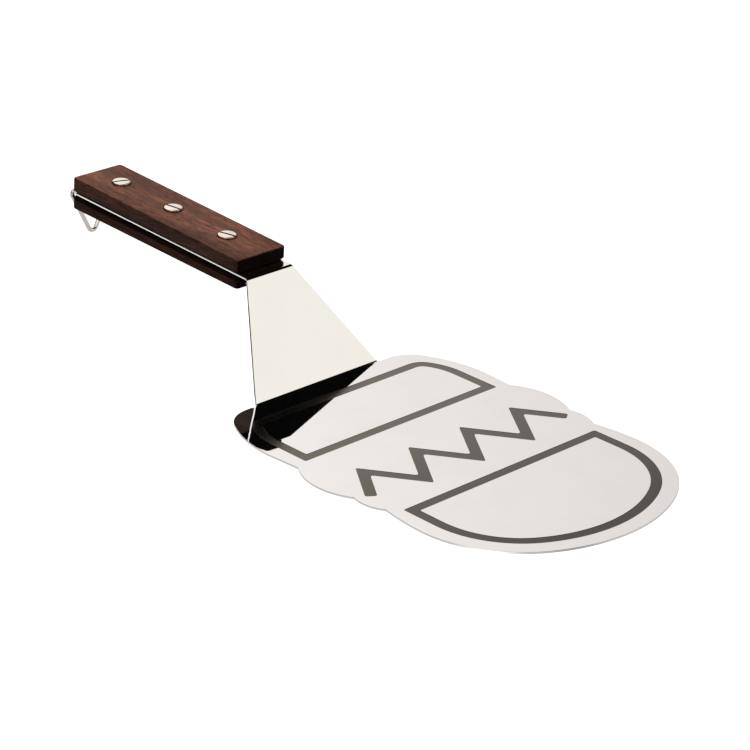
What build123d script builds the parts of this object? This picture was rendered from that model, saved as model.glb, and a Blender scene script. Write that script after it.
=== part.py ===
from build123d import *
import os
from math import asin, atan2, cos, degrees, hypot, radians, sin, tan

# Burger turner: a bent stainless sheet that is blade, neck and tang in one piece, two
# hardwood scales, three binding screws with barrel nuts, and a bent-wire hanging ring.
# Millimetres. X runs along the turner towards the blade's tip, Y runs across it, and Z
# runs up from the surface that the blade lies on. Lengths along the blade are taken from
# the bend line at its heel until the last step, which centres the whole turner on X.

# The sheet
sheet_thickness = 0.9
bend_inner_radius = 1.2

# The blade, from heel to tip: lower bun, lettuce, patty and top bun
lower_bun_length = 52.9
lettuce_length = 32.8
patty_length = 15.1
top_bun_length = 72.7
bun_half_width = 60.1
lettuce_overhang = 4.5
patty_overhang = 0.7
notch_depth = 1.0
notch_radius = 1.2
heel_corner_radius = 15.0
heel_side_radius = 56.0
heel_corner_turn = 60.0
heel_step = 5.2
dome_radius = 72.0
dome_shoulder_share = 0.5

# The etched lines on the blade
etch_depth = 0.1
etch_line_width = 4.3
etch_side_margin = 6.8
etch_heel_margin = 10.3
etch_notch_margin = 1.9
etch_corner_radius = 9.0
etch_corner_side_radius = 29.0
etch_base_margin = 4.6
etch_rim_margin = 6.6
zigzag_line_width = 4.6
zigzag_height_share = 0.377
zigzag_place_share = 0.575
zigzag_pitch_share = 0.44
zigzag_tail_share = 0.845
zigzag_inner_radius = 1.2
zigzag_end_radius = 1.0
zigzag_tips = 4

# The neck and the tang
neck_run = 30.4
neck_rise = 39.8
handle_slope = 2.5
tang_width = 25.0
tang_length_in_front = 5.1

# The two scales of the handle, each a little thicker at its rear end
scale_length = 109.5
scale_overhang = 0.9
upper_front_thickness = 6.5
upper_rear_thickness = 7.2
lower_front_thickness = 5.7
lower_rear_thickness = 6.5
scale_corner_radius = 1.8
scale_outer_round = 1.3
scale_inner_bevel = 1.3

# The binding screws and their barrel nuts
screw_count = 3
first_screw_from_front = 22.1
last_screw_from_rear = 17.3
head_diameter = 7.8
head_flat_diameter = 6.6
head_rim_height = 0.8
head_height = 1.2
head_seat_depth = 0.25
head_seat_clearance = 0.25
slot_width = 1.1
slot_depth = 0.6
screw_slot_angles = (18.0, 12.0, 71.0)
nut_slot_angles = (40.0, 95.0, 150.0)
shank_diameter = 4.0
shank_length = 7.5
thread_clearance = 0.05
barrel_diameter = 5.0
barrel_length = 11.0
barrel_bore_depth = 8.5
barrel_clearance = 0.1

# The hanging ring and the rolled end of the tang that holds it
ring_wire_diameter = 2.0
ring_width = 24.0
ring_drop = 23.9
ring_top_radius = 1.9
ring_tip_radius = 2.2
ring_end_gap = 0.3
eye_clearance = 0.1
eye_setback = 3.2
eye_drop = 0.3
eye_length = 12.0
eye_seam = 0.3
eye_blend_radius = 0.8

# Cuts run past the faces they cut by this much
overrun = 5.0

# Places on the blade
lettuce_half_width = bun_half_width + lettuce_overhang
patty_half_width = bun_half_width + patty_overhang
neck_angle = degrees(atan2(neck_rise, neck_run))
heel_x = bend_inner_radius * tan(radians(neck_angle / 2))
first_notch_x = lower_bun_length
second_notch_x = first_notch_x + lettuce_length
third_notch_x = second_notch_x + patty_length
tip_x = third_notch_x + top_bun_length
dome_turn = degrees(asin(dome_shoulder_share))
corner_rest = 90.0 - heel_corner_turn

# Places along the handle, from the bend at the top of the neck
tang_half_width = tang_width / 2
scale_width = tang_width + 2 * scale_overhang
scale_front = tang_length_in_front
scale_rear = scale_front + scale_length
eye_place = scale_rear + eye_setback
eye_height = -sheet_thickness / 2 - eye_drop
ring_wire_radius = ring_wire_diameter / 2
eye_bore_radius = ring_wire_radius + eye_clearance
eye_outer_radius = eye_bore_radius + sheet_thickness
first_screw = scale_front + first_screw_from_front
last_screw = scale_rear - last_screw_from_rear
screw_pitch = (last_screw - first_screw) / (screw_count - 1)
screw_places = [first_screw + i * screw_pitch for i in range(screw_count)]

# The handle's own plane: its X runs back along the top of the tang, its Z out of it
neck_foot = Vector(0, 0, sheet_thickness)
neck_top = neck_foot + Vector(-neck_run, 0, neck_rise)
handle_back = Vector(-cos(radians(handle_slope)), 0, sin(radians(handle_slope)))
handle_up = Vector(sin(radians(handle_slope)), 0, cos(radians(handle_slope)))
handle = Plane(origin=neck_top, x_dir=handle_back, z_dir=handle_up)
eye_centre = neck_top + handle_back * eye_place + handle_up * eye_height

# The turner's middle, halfway between the tip and the rolled eye's back
middle_x = (tip_x + eye_centre.X - eye_outer_radius) / 2


def corner_rise(corner_radius, side_radius):
    """How far a bun's two-arc rear corner climbs from the flat heel to the straight side."""
    first = corner_radius * sin(radians(heel_corner_turn))
    return first + side_radius * (1 - cos(radians(corner_rest)))


def rear_corner(x, half_width, corner_radius, side_radius):
    """Half of a bun's heel: the flat rear edge, a tight arc, then a wide one."""
    flat_half_width = half_width - corner_rise(corner_radius, side_radius)
    flat = Line((x, 0), (x, flat_half_width))
    tight = JernArc(flat @ 1, (0, 1), corner_radius, -heel_corner_turn)
    wide = JernArc(tight @ 1, tight % 1, side_radius, -corner_rest)
    return [flat, tight, wide]


def dome_arcs(tip, half_width, radius):
    """Half of the top bun's crown: a shoulder arc that runs into the arc over the tip."""
    rise_share = sin(radians(dome_turn))
    shoulder_radius = (half_width - radius * rise_share) / (1 - rise_share)
    shoulder_x = tip - radius + (radius - shoulder_radius) * cos(radians(dome_turn))
    shoulder = JernArc((shoulder_x, half_width), (1, 0), shoulder_radius, dome_turn - 90.0)
    crown = JernArc(shoulder @ 1, shoulder % 1, radius, -dome_turn)
    return [shoulder, crown]


def both_sides(edges):
    """A closed face from the edges of its +Y half and their mirror images."""
    mirrored = [mirror(edge, about=Plane.XZ) for edge in edges]
    return make_face(Curve() + edges + mirrored)


def blade_outline():
    """The burger's outline, with its rounded-in notches between the layers."""
    first_notch = (first_notch_x, bun_half_width - notch_depth)
    second_notch = (second_notch_x, bun_half_width)
    third_notch = (third_notch_x, bun_half_width - notch_depth - notch_radius)
    lettuce_peak = ((first_notch_x + second_notch_x) / 2, lettuce_half_width)
    patty_peak = ((second_notch_x + third_notch_x) / 2, patty_half_width)
    heel = rear_corner(heel_x, bun_half_width, heel_corner_radius, heel_side_radius)
    side = Line(heel[-1] @ 1, first_notch)
    lettuce = ThreePointArc(first_notch, lettuce_peak, second_notch)
    patty = ThreePointArc(second_notch, patty_peak, third_notch)
    dome = dome_arcs(tip_x, bun_half_width, dome_radius)
    bun_base = TangentArc(dome[0] @ 0, third_notch, tangent=(-1, 0))
    face = both_sides(heel + [side, lettuce, patty, bun_base] + dome)
    notches = [first_notch, second_notch, third_notch]
    for x, y in notches:
        for corner in [(x, y), (x, -y)]:
            vertex = face.vertices().sort_by_distance(corner)[0]
            face = face.faces()[0].fillet_2d(notch_radius, [vertex])
    return face


def line_along(face):
    """The etched line that runs just inside a closed outline."""
    return face - offset(face, amount=-etch_line_width, kind=Kind.INTERSECTION)


def lower_bun_line():
    """The etched outline of the lower bun."""
    half_width = bun_half_width - etch_side_margin
    rear_x = heel_x + etch_heel_margin
    front_x = first_notch_x - etch_notch_margin
    heel = rear_corner(rear_x, half_width, etch_corner_radius, etch_corner_side_radius)
    side = Line(heel[-1] @ 1, (front_x, half_width))
    front = Line((front_x, half_width), (front_x, 0))
    return line_along(both_sides(heel + [side, front]))


def top_bun_line():
    """The etched outline of the top bun."""
    half_width = bun_half_width - etch_side_margin
    base_x = third_notch_x + etch_base_margin
    dome = dome_arcs(tip_x - etch_rim_margin, half_width, dome_radius - etch_rim_margin)
    base = Line((base_x, 0), (base_x, half_width))
    side = Line((base_x, half_width), dome[0] @ 0)
    return line_along(both_sides([base, side] + dome))


def zigzag_line():
    """The etched zigzag between the buns, with sharp tips and blunt ends."""
    near_x = first_notch_x - etch_notch_margin
    far_x = third_notch_x + etch_base_margin
    middle = near_x + (far_x - near_x) * zigzag_place_share
    height = (far_x - near_x) * zigzag_height_share
    pitch = lettuce_half_width * zigzag_pitch_share
    stroke = Vector(height, pitch / 2)
    lean = stroke.normalized()
    side = Vector(-lean.Y, lean.X) * (zigzag_line_width / 2)
    tip_reach = Vector(zigzag_line_width / 2 / lean.Y, 0)
    crests = [
        Vector(middle + height / 2 * (-1) ** (i + 1), (i - zigzag_tips + 1) * pitch / 2)
        for i in range(2 * zigzag_tips - 1)
    ]
    end = crests[-1] + stroke * zigzag_tail_share
    start = Vector(end.X, -end.Y)
    across = Vector(side.X, -side.Y)
    upper = [start + across] + [crest - tip_reach for crest in crests] + [end + side]
    lower = [end - side] + [crest + tip_reach for crest in reversed(crests)] + [start - across]
    band = make_face(Polyline(*upper, *lower, close=True))
    inner_corners = [crest + tip_reach * (-1) ** i for i, crest in enumerate(crests)]
    rounds = [(corner, zigzag_inner_radius) for corner in inner_corners]
    for corner in [start + across, start - across, end + side, end - side]:
        rounds.append((corner, zigzag_end_radius))
    for corner, radius in rounds:
        vertex = band.vertices().sort_by_distance((corner.X, corner.Y))[0]
        band = band.faces()[0].fillet_2d(radius, [vertex])
    return band


def bent_profile():
    """The sheet's side view from the heel up the neck and back along the tang."""
    start_x = heel_x + overrun
    neck_normal = Vector(sin(radians(neck_angle)), 0, cos(radians(neck_angle)))
    top_bend = radians(neck_angle - handle_slope) / 2
    top_middle = (neck_normal + handle_up).normalized()
    foot_under = Vector(-sheet_thickness * tan(radians(neck_angle / 2)), 0, 0)
    top_under = neck_top - top_middle * (sheet_thickness / cos(top_bend))
    tang_end = neck_top + handle_back * scale_rear
    tang_end_under = tang_end - handle_up * sheet_thickness
    outer_radius = bend_inner_radius + sheet_thickness
    corners = [
        Vector(start_x, 0, sheet_thickness), neck_foot, neck_top, tang_end,
        tang_end_under, top_under, foot_under, Vector(start_x, 0, 0),
    ]
    face = Plane.XZ * make_face(Polyline(*[(c.X, c.Z) for c in corners], close=True))
    rounds = [
        (neck_foot, bend_inner_radius), (foot_under, outer_radius),
        (neck_top, outer_radius), (top_under, bend_inner_radius),
    ]
    for place, radius in rounds:
        vertex = face.vertices().sort_by_distance(place)[0]
        face = face.faces()[0].fillet_2d(radius, [vertex])
    return face


def neck_and_tang():
    """The neck, tapering from the heel to the handle's width, with the tang behind it."""
    rise = corner_rise(heel_corner_radius, heel_side_radius)
    foot_half_width = bun_half_width - rise - heel_step
    neck_length = hypot(neck_run, neck_rise)
    band = extrude(bent_profile(), amount=bun_half_width, both=True)
    neck_way = (neck_top - neck_foot).normalized()
    neck_normal = Vector(sin(radians(neck_angle)), 0, cos(radians(neck_angle)))
    neck = Plane(origin=neck_foot, x_dir=neck_way, z_dir=neck_normal)
    reach = scale_rear + overrun
    plan = neck * make_face(Polyline(
        (-reach, -foot_half_width), (0, -foot_half_width),
        (neck_length, -tang_half_width), (neck_length + reach, -tang_half_width),
        (neck_length + reach, tang_half_width), (neck_length, tang_half_width),
        (0, foot_half_width), (-reach, foot_half_width), close=True,
    ))
    return band & extrude(plan, amount=reach, both=True)


def rolled_eye():
    """The tongue at the tang's end, rolled round the ring's straight side."""
    tongue_start = scale_rear - overrun
    tongue_run = eye_place - tongue_start
    eye = Pos(eye_place, eye_height) * Circle(eye_outer_radius)
    tongue = Pos(tongue_start + tongue_run / 2, -sheet_thickness / 2)
    profile = eye + tongue * Rectangle(tongue_run, sheet_thickness)
    meeting_height = -eye_height
    meeting = eye_place - (eye_outer_radius ** 2 - meeting_height ** 2) ** 0.5
    vertex = profile.vertices().sort_by_distance((meeting, 0))[0]
    profile = profile.faces()[0].fillet_2d(eye_blend_radius, [vertex])
    seam_x = eye_place - eye_outer_radius
    seam = Pos(seam_x, -sheet_thickness - eye_seam / 2) * Rectangle(2 * sheet_thickness, eye_seam)
    bore = Pos(eye_place, eye_height) * Circle(eye_bore_radius)
    side_view = handle * Plane.XZ * (profile - bore - seam)
    return extrude(side_view, amount=eye_length / 2, both=True)


def turner_sheet():
    """Blade, neck, tang and eye: one sheet, cut, etched and bent."""
    blade = extrude(blade_outline(), amount=sheet_thickness)
    floor_height = sheet_thickness - etch_depth
    lines = [lower_bun_line(), zigzag_line(), top_bun_line()]
    sheet = blade + neck_and_tang() + rolled_eye()
    for line in lines:
        sheet -= Pos(0, 0, floor_height) * extrude(line, amount=etch_depth + overrun)
    for place in screw_places:
        sheet -= handle * Pos(place, 0, 0) * Cylinder(
            barrel_diameter / 2 + barrel_clearance, 2 * overrun)
    return sheet


def seat_height(place, front_thickness, rear_thickness):
    """Height of a head's seat above the inner face of a scale that grows from front to rear."""
    share = (place - scale_front) / scale_length
    return front_thickness + (rear_thickness - front_thickness) * share - head_seat_depth


def handle_scale(front_thickness, rear_thickness):
    """One scale, lying on Z = 0 in the handle's plane, with its screw holes and seats."""
    side_view = make_face(Polyline(
        (scale_front, 0), (scale_rear, 0),
        (scale_rear, rear_thickness), (scale_front, front_thickness), close=True,
    ))
    scale = extrude(Plane.XZ * side_view, amount=scale_width / 2, both=True)
    scale = chamfer(scale.faces().sort_by(Axis.Z)[0].edges(), scale_inner_bevel)
    scale = fillet(scale.faces().sort_by(Axis.Z)[-1].edges(), scale_outer_round)
    plan = Pos((scale_front + scale_rear) / 2, 0) * RectangleRounded(
        scale_length, scale_width, scale_corner_radius)
    scale &= extrude(plan, amount=rear_thickness)
    hole_radius = barrel_diameter / 2 + barrel_clearance
    seat_radius = head_diameter / 2 + head_seat_clearance
    to_top = (Align.CENTER, Align.CENTER, Align.MIN)
    for place in screw_places:
        seat = Pos(place, 0, seat_height(place, front_thickness, rear_thickness))
        scale -= Pos(place, 0, 0) * Cylinder(hole_radius, 2 * rear_thickness + overrun)
        scale -= seat * Cylinder(seat_radius, overrun, align=to_top)
    return scale


def slotted_head(angle):
    """A low slotted head with a bevel round its flat crown, sitting on Z = 0."""
    radius = head_diameter / 2
    half_profile = make_face(Polyline(
        (0, 0), (radius, 0), (radius, head_rim_height),
        (head_flat_diameter / 2, head_height), (0, head_height), close=True,
    ))
    head = revolve(Plane.XZ * half_profile, Axis.Z)
    slot = Box(head_diameter + overrun, slot_width, 2 * slot_depth)
    return head - Pos(0, 0, head_height) * Rot(0, 0, angle) * slot


def binding_screw(angle):
    """A slotted screw, its head's underside on Z = 0, for a barrel nut."""
    to_bottom = (Align.CENTER, Align.CENTER, Align.MAX)
    shank_radius = shank_diameter / 2 - thread_clearance
    return slotted_head(angle) + Cylinder(shank_radius, shank_length, align=to_bottom)


def barrel_nut(angle):
    """A barrel nut with a head like the screw's, its underside on Z = 0."""
    to_bottom = (Align.CENTER, Align.CENTER, Align.MAX)
    to_top = (Align.CENTER, Align.CENTER, Align.MIN)
    nut = slotted_head(angle) + Cylinder(barrel_diameter / 2, barrel_length, align=to_bottom)
    bore = Cylinder(shank_diameter / 2, barrel_bore_depth, align=to_top)
    return nut - Pos(0, 0, -barrel_length) * bore


def hanging_ring():
    """A bent-wire triangle whose straight side lies in the eye, its ends meeting there."""
    half_width = ring_width / 2
    half_gap = ring_end_gap / 2
    points = [(half_gap, 0), (half_width, 0), (0, -ring_drop), (-half_width, 0), (-half_gap, 0)]
    path = FilletPolyline(*points, radius=[ring_top_radius, ring_tip_radius, ring_top_radius])
    line = Plane.YZ * path
    section = Plane(origin=line @ 0, z_dir=line % 0) * Circle(ring_wire_radius)
    return Pos(*eye_centre) * sweep(section, path=line)


def seated(fasteners, front_thickness, rear_thickness):
    """The fasteners in their seats along a scale, the first at the front."""
    heights = [seat_height(place, front_thickness, rear_thickness) for place in screw_places]
    spots = zip(screw_places, heights, fasteners)
    return Compound([Pos(place, 0, height) * fastener for place, height, fastener in spots])


under_handle = handle * Pos(0, 0, -sheet_thickness) * Rot(180, 0, 0)
screws = [binding_screw(angle) for angle in screw_slot_angles]
nuts = [barrel_nut(angle) for angle in nut_slot_angles]
parts = {
    "turner_sheet": turner_sheet(),
    "upper_scale": handle * handle_scale(upper_front_thickness, upper_rear_thickness),
    "lower_scale": under_handle * handle_scale(lower_front_thickness, lower_rear_thickness),
    "binding_screws": handle * seated(screws, upper_front_thickness, upper_rear_thickness),
    "barrel_nuts": under_handle * seated(nuts, lower_front_thickness, lower_rear_thickness),
    "hanging_ring": hanging_ring(),
}

os.makedirs("parts", exist_ok=True)
for name, shape in parts.items():
    export_step(Pos(-middle_x, 0, 0) * shape, f"parts/{name}.step")
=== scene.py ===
from math import asin, atan2, cos, hypot, pi, radians, sin, sqrt, tan

import bmesh
import bpy
from mathutils import Matrix, Vector
from mathutils.geometry import tessellate_polygon


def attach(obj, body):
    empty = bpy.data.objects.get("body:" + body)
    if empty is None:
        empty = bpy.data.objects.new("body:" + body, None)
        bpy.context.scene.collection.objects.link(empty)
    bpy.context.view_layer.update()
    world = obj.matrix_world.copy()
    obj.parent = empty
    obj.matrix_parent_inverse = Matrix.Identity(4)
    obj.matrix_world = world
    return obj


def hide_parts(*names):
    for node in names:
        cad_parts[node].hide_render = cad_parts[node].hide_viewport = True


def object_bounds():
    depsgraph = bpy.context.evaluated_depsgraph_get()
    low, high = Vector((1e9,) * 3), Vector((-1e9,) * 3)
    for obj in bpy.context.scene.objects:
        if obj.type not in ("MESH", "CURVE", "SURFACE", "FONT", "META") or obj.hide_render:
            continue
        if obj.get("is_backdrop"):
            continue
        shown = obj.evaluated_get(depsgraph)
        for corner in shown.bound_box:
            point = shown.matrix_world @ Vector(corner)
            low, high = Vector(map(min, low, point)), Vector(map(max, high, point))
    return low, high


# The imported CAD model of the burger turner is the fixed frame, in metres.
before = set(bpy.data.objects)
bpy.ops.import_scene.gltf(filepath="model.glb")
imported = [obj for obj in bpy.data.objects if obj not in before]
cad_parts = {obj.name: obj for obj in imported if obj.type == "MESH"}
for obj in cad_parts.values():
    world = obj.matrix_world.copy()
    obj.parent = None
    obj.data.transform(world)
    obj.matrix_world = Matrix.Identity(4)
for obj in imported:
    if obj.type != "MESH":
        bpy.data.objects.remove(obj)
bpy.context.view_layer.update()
mm = 0.001

# ----------------------------------------
# The camera stands in front of the turner on its near side, a little over a metre off,
# and looks down on it at 24 degrees.
aim = Vector((3.59, 17.89, 4.38)) * mm
camera_distance = 1.1485
azimuth = radians(-44.333)
elevation = radians(24.369)
camera_roll = radians(1.631)
lens_length, film_width = 133.78, 36.0
nearest_seen, furthest_seen = 0.01, 50.0


def new_object(name, data):
    """An object of that name, placed in the scene."""
    thing = bpy.data.objects.new(name, data)
    bpy.context.scene.collection.objects.link(thing)
    return thing


away = Vector((cos(elevation) * cos(azimuth), cos(elevation) * sin(azimuth),
               sin(elevation)))
camera_data = bpy.data.cameras.new("studio_camera")
camera_data.lens = lens_length
camera_data.sensor_width = film_width
camera_data.clip_start = nearest_seen
camera_data.clip_end = furthest_seen
camera = new_object("studio_camera", camera_data)
look = away.to_track_quat("Z", "Y").to_matrix().to_4x4()
camera.matrix_world = (Matrix.Translation(aim + away * camera_distance) @ look
                       @ Matrix.Rotation(camera_roll, 4, "Z"))
bpy.context.scene.camera = camera

# ----------------------------------------
# The studio: a dim room with soft cards round the turner, which its polished sheet mirrors,
# and a soft box overhead, which lights it and isn't mirrored. The camera sees a white
# backdrop.
bpy.context.scene.view_settings.view_transform = "Standard"
plain_white = (1.0, 1.0, 1.0, 1.0)
warm_white = (1.0, 0.97, 0.93)
dim_room = (0.22, 0.21, 0.20, 1.0)
soft_box_place = Vector((-0.25, 0.0, 1.6))
soft_box_width, soft_box_power = 1.1, 66.0
# Each card's direction, the angles from there where it starts to fade and where it ends,
# and its colour
cards = {
    "grey ceiling": ((0.0, 0.0, 1.0), 30.0, 55.0, (0.62, 0.60, 0.575, 1.0)),
    "white, behind": ((-0.72, 0.52, 0.46), 32.0, 52.0, (1.10, 1.07, 1.057, 1.0)),
    "grey, to the right": ((0.303, 0.948, -0.092), 41.0, 85.0, (0.576, 0.534, 0.509, 1.0)),
    "cream, to the right": ((0.569, 0.637, 0.520), 18.0, 26.0, (0.96, 0.93, 0.87, 1.0)),
    "white, by the camera": ((0.394, -0.682, 0.616), 13.0, 21.0, (1.5, 1.45, 1.4, 1.0)),
    "black, high behind": ((-0.101, 0.619, 0.779), 23.0, 30.0, (0.002, 0.002, 0.002, 1.0)),
}

world = bpy.data.worlds.new("studio_room")
bpy.context.scene.world = world
world.use_nodes = True
room = world.node_tree
room.nodes.clear()


def add_node(tree, kind, **settings):
    """A node of that kind; a setting names an input, with _ for a space, or a property."""
    node = tree.nodes.new("ShaderNode" + kind)
    for name, value in settings.items():
        socket = node.inputs.get(name.replace("_", " "))
        if socket is None:
            setattr(node, name, value)
        else:
            socket.default_value = value
    return node


def join(tree, *links):
    """Links nodes; each link is a node with its output, then a node with its input."""
    for start, start_socket, end, end_socket in links:
        tree.links.new(start.outputs[start_socket], end.inputs[end_socket])


def card_mask(direction, fade_angle, end_angle):
    """1 inside a round card that hangs in that direction, 0 outside it, soft between."""
    closeness = add_node(room, "VectorMath", operation="DOT_PRODUCT")
    closeness.inputs[1].default_value = Vector(direction).normalized()
    edge = add_node(room, "MapRange", interpolation_type="SMOOTHSTEP",
                    From_Min=cos(radians(end_angle)), From_Max=cos(radians(fade_angle)))
    join(room, (place, "Generated", closeness, 0), (closeness, "Value", edge, "Value"))
    return edge


place = add_node(room, "TexCoord")
seen = None
for direction, fade_angle, end_angle, colour in cards.values():
    hung = add_node(room, "Mix", data_type="RGBA", A=dim_room, B=colour)
    join(room, (card_mask(direction, fade_angle, end_angle), "Result", hung, "Factor"))
    if seen is not None:
        join(room, (seen, "Result", hung, "A"))
    seen = hung
path = add_node(room, "LightPath")
for_camera = add_node(room, "Mix", data_type="RGBA", B=plain_white)
backdrop = add_node(room, "Background")
room_output = add_node(room, "OutputWorld")
join(room,
     (path, "Is Camera Ray", for_camera, "Factor"), (seen, "Result", for_camera, "A"),
     (for_camera, "Result", backdrop, "Color"),
     (backdrop, "Background", room_output, "Surface"))

soft_box_data = bpy.data.lights.new("overhead_soft_box", "AREA")
soft_box_data.shape = "DISK"
soft_box_data.size = soft_box_width
soft_box_data.energy = soft_box_power
soft_box_data.color = warm_white
soft_box = new_object("overhead_soft_box", soft_box_data)
soft_box.location = soft_box_place
soft_box.visible_glossy = False
soft_box.rotation_mode = "QUATERNION"
soft_box.rotation_quaternion = soft_box_place.to_track_quat("Z", "Y")

# ----------------------------------------
# The floor: a pale seamless sheet, lit from below as a product table is, so that it stays
# white and takes hardly any shadow. Beside the blade's tip it has a brighter and a dimmer
# patch, which only mirrors show, in the blade's thin edge.
floor_reach = 8.0
floor_grey = (0.03, 0.03, 0.03, 1.0)
glow_for_camera, patch_glow = 1.2, 0.25
patch_radius, patch_reach = 0.004, 0.015
floor_patches = (((0.1365, -0.0515, 0.0), 0.6), ((0.1565, -0.026, 0.0), -0.19))


def new_material(name, **values):
    """A material, its node tree and its shader, with those values on the shader's inputs."""
    material = bpy.data.materials.new(name)
    material.use_nodes = True
    shader = material.node_tree.nodes["Principled BSDF"]
    for socket, value in values.items():
        shader.inputs[socket.replace("_", " ")].default_value = value
    return material, material.node_tree, shader


def flat_object(name, corners, faces, material):
    """A thing of flat faces, the corners given in metres."""
    mesh = bpy.data.meshes.new(name)
    mesh.from_pydata(corners, [], faces)
    mesh.materials.append(material)
    return new_object(name, mesh)


light_table, table, table_shader = new_material(
    "light_table", Base_Color=floor_grey, Roughness=1.0, Specular_IOR_Level=0.0,
    Emission_Color=plain_white)
floor_corners = [(x * floor_reach, y * floor_reach, 0.0)
                 for x, y in ((-1, -1), (1, -1), (1, 1), (-1, 1))]
floor = flat_object("floor", floor_corners, [(0, 1, 2, 3)], light_table)
floor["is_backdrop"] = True
floor_path = add_node(table, "LightPath")
floor_glow = add_node(table, "MapRange", To_Max=glow_for_camera)
floor_place = add_node(table, "TexCoord")
mirrored_glow = add_node(table, "Math", operation="ADD")
for i, (patch, change) in enumerate(floor_patches):
    patch_distance = add_node(table, "VectorMath", operation="DISTANCE")
    patch_distance.inputs[1].default_value = patch
    fade = add_node(table, "MapRange", From_Min=patch_radius, From_Max=patch_reach,
                    To_Min=patch_glow + change, To_Max=patch_glow)
    join(table,
         (floor_place, "Object", patch_distance, 0),
         (patch_distance, "Value", fade, "Value"), (fade, "Result", mirrored_glow, i))
join(table,
     (floor_path, "Is Camera Ray", floor_glow, "Value"),
     (mirrored_glow, "Value", floor_glow, "To Min"),
     (floor_glow, "Result", table_shader, "Emission Strength"))

# Two cards beside the turner, out of the camera's sight: a white strip that the tang's near
# edge mirrors as a bright line, tilted to lie edge-on to what the neck's edge mirrors, and a
# folded black one that darkens the neck's near edge.
card_black = (0.01, 0.01, 0.01, 1.0)
strip_glow = 1.05
strip_corners = ((-0.186, -0.0312, 0.0357), (-0.0607, -0.0296, 0.0314),
                 (-0.0513, -0.0204, 0.0343), (-0.174, -0.0188, 0.0398))
flag_corners = ((-0.030, -0.032, 0.0006), (-0.030, -0.060, 0.0006),
                (-0.235, -0.125, 0.0006), (-0.235, -0.070, 0.0006),
                (-0.235, -0.125, 0.0400), (-0.235, -0.065, 0.0400))
for name, corners, faces, glow in (
        ("strip_card", strip_corners, [(0, 1, 2, 3)], strip_glow),
        ("black_flag", flag_corners, [(0, 1, 2, 3), (3, 2, 4, 5)], 0.0)):
    card_face = new_material(name, Base_Color=card_black, Specular_IOR_Level=0.0,
                             Emission_Color=(*warm_white, 1.0), Emission_Strength=glow)[0]
    card = flat_object(name, corners, faces, card_face)
    card.visible_camera = False
    card.visible_diffuse = False
    card.visible_shadow = False
    card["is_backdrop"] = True

# ----------------------------------------
# The turner's sheet: blade, neck, tang and eye are one piece of stainless sheet, cut to
# the outline of a filled bun, etched with its layers, polished, bent twice, and rolled at
# the rear end into the eye that holds the hanging ring.
sheet_thickness = 0.9
edge_round = 0.07
bend_inner_radius = 1.2
heel_bend_x = -11.68965
bun_half_width = 60.1
heel_corner_radius, heel_side_radius = 15.0, 56.0
heel_corner_turn = radians(60.0)
first_notch_x, second_notch_x, third_notch_x, tip_x = 52.9, 85.7, 100.8, 173.46
lettuce_half_width, patty_half_width = 64.59, 60.8
notch_depth, notch_radius = 1.0, 1.2
first_notch_reach, second_notch_reach, third_notch_reach = 0.38, 0.56, 0.52
dome_radius = 72.0
dome_turn = asin(0.5)
foot_half_width, foot_guide = 33.8, 9.0
neck_run, neck_rise = 30.4, 39.8
handle_slope = radians(2.5)
tang_half_width = 12.5
scale_front, scale_rear = 5.1, 114.6
screw_places = (27.2, 62.25, 97.3)
barrel_hole_radius, hole_steps = 2.6, 32
neck_angle = atan2(neck_rise, neck_run)
neck_length = hypot(neck_run, neck_rise)
heel_x = bend_inner_radius * tan(neck_angle / 2)
outer_radius = bend_inner_radius + sheet_thickness


def arc(centre, radius, start, turn, steps):
    """Points along an arc in the plane, its first point left out."""
    angles = [start + turn * (i + 1) / steps for i in range(steps)]
    return [Vector((centre[0] + radius * cos(a), centre[1] + radius * sin(a)))
            for a in angles]


def rear_corner(x, half_width, corner_radius, side_radius):
    """The +Y half of a bun's heel, from the middle line out to its straight side."""
    rest = pi / 2 - heel_corner_turn
    rise = corner_radius * sin(heel_corner_turn) + side_radius * (1 - cos(rest))
    flat = half_width - rise
    tight_centre = Vector((x + corner_radius, flat))
    tight = arc(tight_centre, corner_radius, pi, -heel_corner_turn, steps=12)
    inward = (tight_centre - tight[-1]).normalized()
    wide_centre = tight[-1] + inward * side_radius
    wide = arc(wide_centre, side_radius, pi - heel_corner_turn, -rest, steps=8)
    return [Vector((x, flat))] + tight + wide


def dome(tip, half_width, radius):
    """The +Y half of a bun's crown, from its side forward to the tip."""
    share = sin(dome_turn)
    shoulder = (half_width - radius * share) / (1 - share)
    shoulder_x = tip - radius + (radius - shoulder) * cos(dome_turn)
    centre = Vector((shoulder_x, half_width - shoulder))
    first = arc(centre, shoulder, pi / 2, dome_turn - pi / 2, steps=24)
    second = arc((tip - radius, 0.0), radius, dome_turn, -dome_turn, steps=14)
    return [Vector((shoulder_x, half_width))] + first + second


def bulge(start, peak, end, steps):
    """Points along the arc through three points, its first point left out."""
    chord = end - start
    middle = (start + end) / 2
    out = Vector((-chord.y, chord.x)).normalized()
    rise = (peak - start).dot(out)
    along = (peak - middle).dot(chord.normalized())
    half = chord.length / 2
    drop = (half * half - along * along - rise * rise) / (2 * rise)
    centre = middle - out * drop
    radius = (start - centre).length
    first = atan2(start.y - centre.y, start.x - centre.x)
    last = atan2(end.y - centre.y, end.x - centre.x)
    return arc(centre, radius, first, last - first, steps)


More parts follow.
